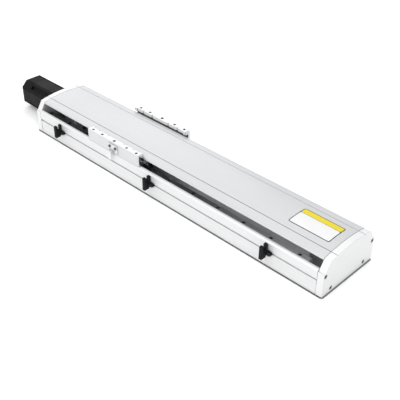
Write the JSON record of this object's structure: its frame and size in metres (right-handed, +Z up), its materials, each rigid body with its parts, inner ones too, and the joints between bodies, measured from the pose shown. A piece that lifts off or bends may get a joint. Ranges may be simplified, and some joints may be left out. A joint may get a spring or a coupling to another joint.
{
  "type": "belt driven linear axis",
  "caption": "Covered belt driven linear axis: a U shaped table runs on guide rails beside a domed cover, driven by an in-line motor through a bevel stage and a toothed belt.",
  "frame": {"origin": "middle of the body's mounting face, halfway between the outer faces of its end plates", "axes": "+X along the travel towards the tail end (the motor is at -X), +Y to the side away from the sensors, +Z up, away from the mounting face"},
  "size_m": [0.8526, 0.1503, 0.0742],
  "materials": {
    "anodised_aluminium": "clear satin anodised",
    "machined_aluminium": "milled",
    "guide_steel": "ground and oiled",
    "ground_steel": "ground",
    "gear_steel": "cut and hardened",
    "black_screw_steel": "black oxide",
    "bright_screw_steel": "bright zinc plated",
    "flag_sheet": "stainless sheet",
    "motor_coat": "black satin coat",
    "black_plastic": "moulded, fine grain",
    "sensor_plastic": "moulded, fine grain",
    "black_rubber": "dull",
    "spider_polyurethane": "dull"
  },
  "bodies": {
    "base": {"base_extrusion": "anodised_aluminium", "top_cover": "anodised_aluminium", "motor_end_plate": "anodised_aluminium", "tail_end_plate": "anodised_aluminium", "end_plate_screws": "black_screw_steel", "front_guide_rail": "guide_steel", "rear_guide_rail": "guide_steel", "rail_screws": "black_screw_steel", "drive_housing": "machined_aluminium", "drive_housing_screws": "black_screw_steel", "pulley_shaft_bearings": "ground_steel", "pinion_shaft_bearings": "ground_steel", "motor_flange": "motor_coat", "motor_body": "motor_coat", "motor_rear_cover": "motor_coat", "motor_screws": "bright_screw_steel", "motor_cable_glands": "black_plastic", "idler_bracket": "machined_aluminium", "idler_axle": "ground_steel", "idler_bearings": "ground_steel", "tension_screws": "black_screw_steel", "idler_clamp_screws": "black_screw_steel", "timing_belt": "black_rubber", "motor_side_buffers": "black_rubber", "tail_stop_posts": "ground_steel", "tail_buffers": "black_rubber", "motor_limit_sensor": "sensor_plastic", "home_sensor": "sensor_plastic", "tail_limit_sensor": "sensor_plastic", "sensor_screws": "black_screw_steel", "sensor_nuts": "bright_screw_steel"},
    "carriage": {"carriage_table": "anodised_aluminium", "guide_block_front_motor": "guide_steel", "guide_block_front_tail": "guide_steel", "guide_block_rear_motor": "guide_steel", "guide_block_rear_tail": "guide_steel", "block_end_seals": "black_plastic", "block_screws": "black_screw_steel", "belt_clamp_block": "machined_aluminium", "belt_clamp_plate": "machined_aluminium", "belt_clamp_screws": "black_screw_steel", "clamp_block_screws": "black_screw_steel", "motor_side_end_cap": "machined_aluminium", "tail_side_end_cap": "machined_aluminium", "end_cap_screws": "bright_screw_steel", "sensor_flag": "flag_sheet", "flag_screws": "bright_screw_steel"},
    "drive_shaft": {"pulley_shaft": "ground_steel", "drive_pulley": "machined_aluminium", "bevel_gear": "gear_steel", "shaft_collar": "machined_aluminium"},
    "motor_line": {"bevel_pinion": "gear_steel", "pinion_shaft": "ground_steel", "pinion_coupling_hub": "machined_aluminium", "coupling_spider": "spider_polyurethane", "motor_coupling_hub": "machined_aluminium", "motor_shaft": "ground_steel"},
    "idler": {"idler_pulley": "machined_aluminium"}
  },
  "joints": [
    {"name": "carriage_slide", "type": "slide", "parent": "base", "child": "carriage", "axis": [1, 0, 0], "range_m": [-0.159, 0.384], "deforming": ["timing_belt"]},
    {"name": "drive_shaft_spin", "type": "hinge", "parent": "base", "child": "drive_shaft", "pos_m": [-0.296, 0, 0.0335], "axis": [0, 1, 0], "range_deg": [-819.71, 1976.86]},
    {"name": "motor_line_spin", "type": "hinge", "parent": "base", "child": "motor_line", "pos_m": [-0.34, 0, 0.0335], "axis": [1, 0, 0], "range_deg": [-1394.11, 3361.26]},
    {"name": "idler_spin", "type": "hinge", "parent": "base", "child": "idler", "pos_m": [0.319, 0, 0.0335], "axis": [0, 1, 0], "range_deg": [-819.71, 1976.86]}
  ],
  "couplings": [
    {"joint": "drive_shaft_spin", "follows": "carriage_slide", "rad_per_m": 89.76},
    {"joint": "motor_line_spin", "follows": "carriage_slide", "rad_per_m": 152.59},
    {"joint": "idler_spin", "follows": "carriage_slide", "rad_per_m": 89.76}
  ]
}
